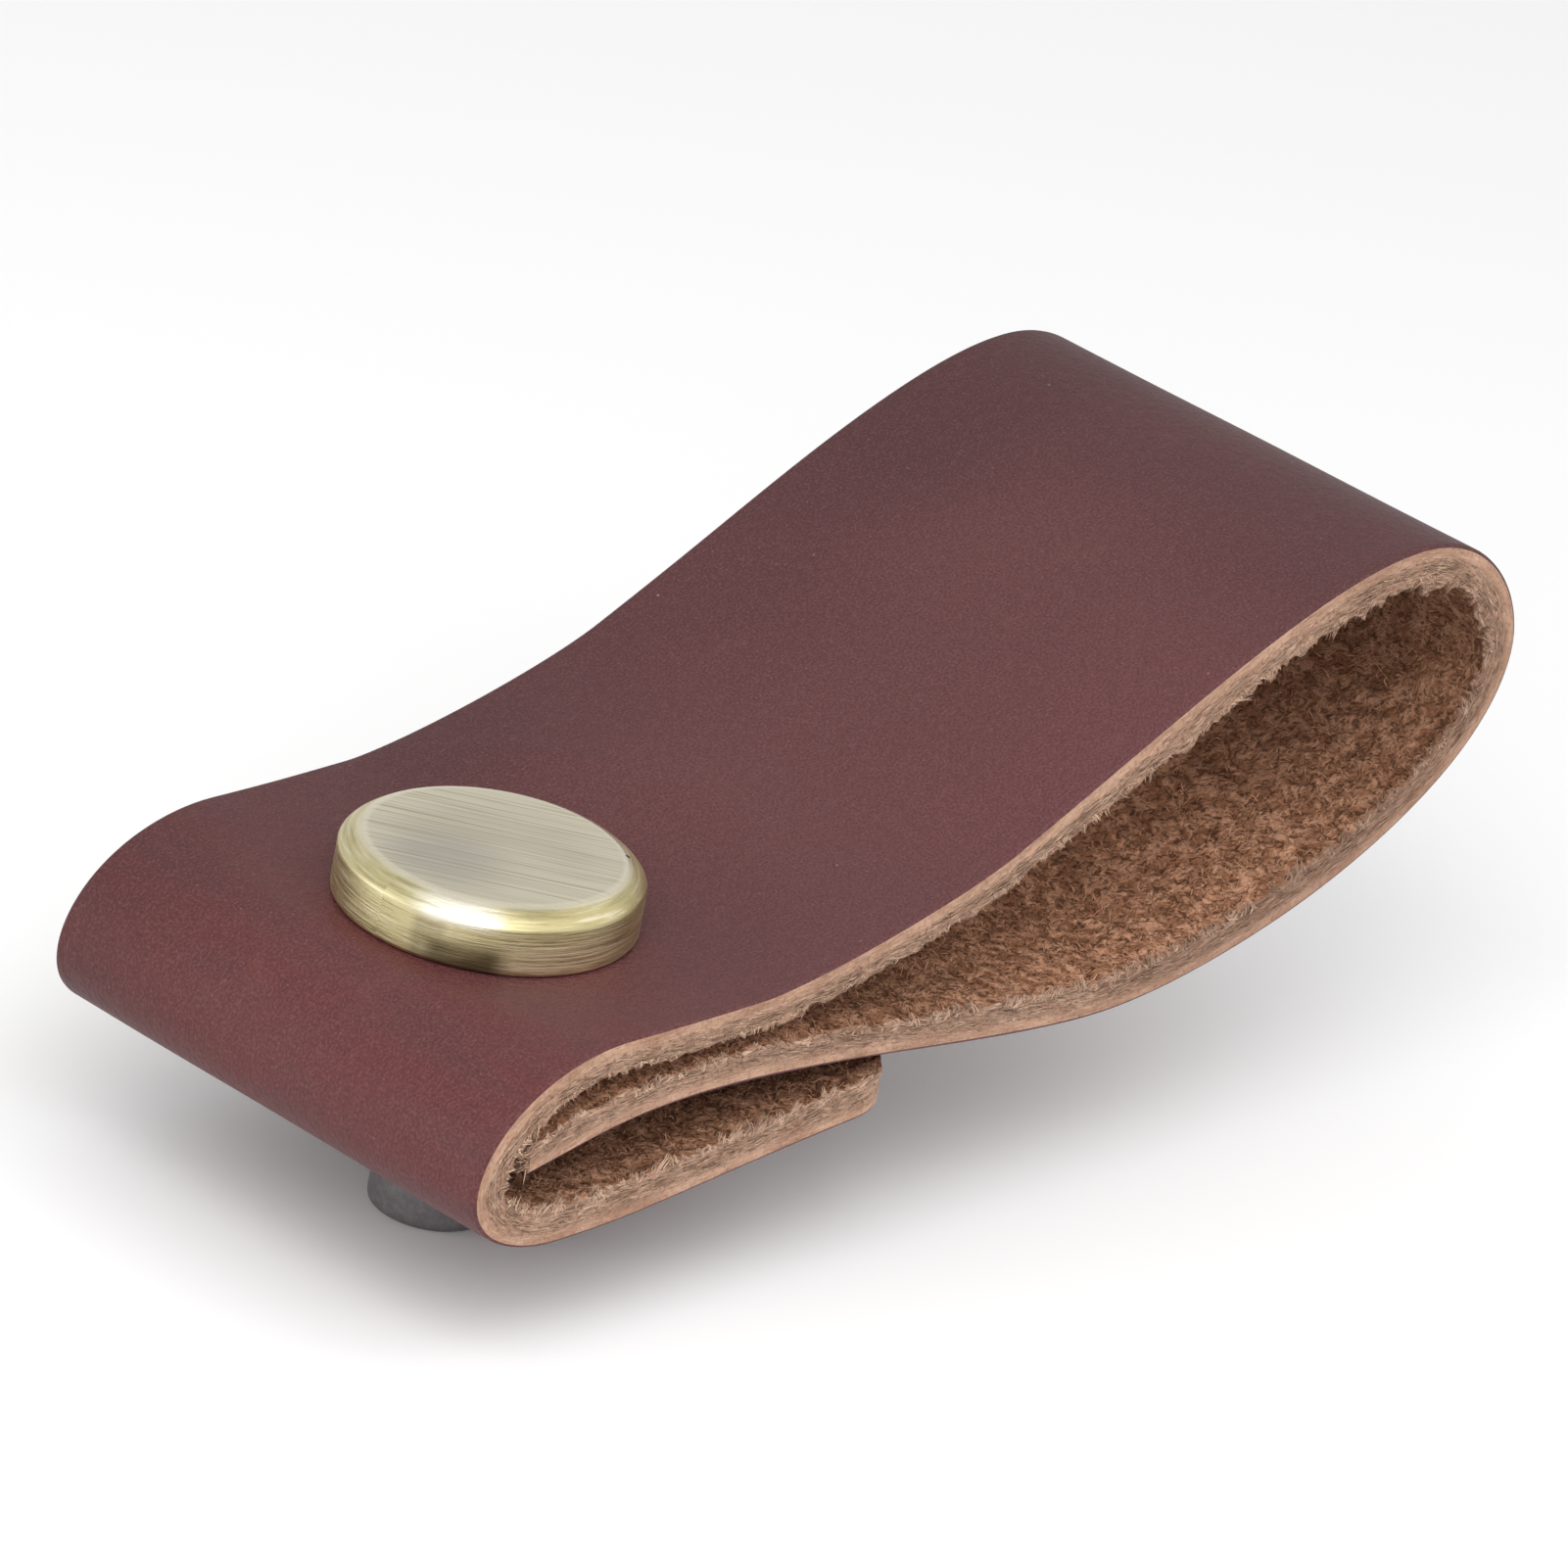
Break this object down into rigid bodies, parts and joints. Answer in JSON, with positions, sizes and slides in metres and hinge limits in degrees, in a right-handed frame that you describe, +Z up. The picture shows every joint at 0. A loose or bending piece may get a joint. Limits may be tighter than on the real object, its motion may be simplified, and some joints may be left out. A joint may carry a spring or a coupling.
{
  "type": "leather cabinet pull",
  "caption": "Cabinet and drawer pull: a leather strap folded into a finger loop, held under a round antique brass button whose stem takes a screw.",
  "frame": {"origin": "centre of the stem's end face, which meets the cabinet or drawer front", "axes": "+Z up the stem towards the button, +X from the stem towards the finger loop, Y across the strap"},
  "size_m": [0.0964, 0.038, 0.0419],
  "materials": {
    "oxblood_leather": "satin grain face, sueded flesh side, raw cut edges",
    "antique_brass": "brushed antique brass head, dark stem"
  },
  "bodies": {
    "root": {"folded_strap": "oxblood_leather", "button_stem": "antique_brass"}
  },
  "joints": []
}
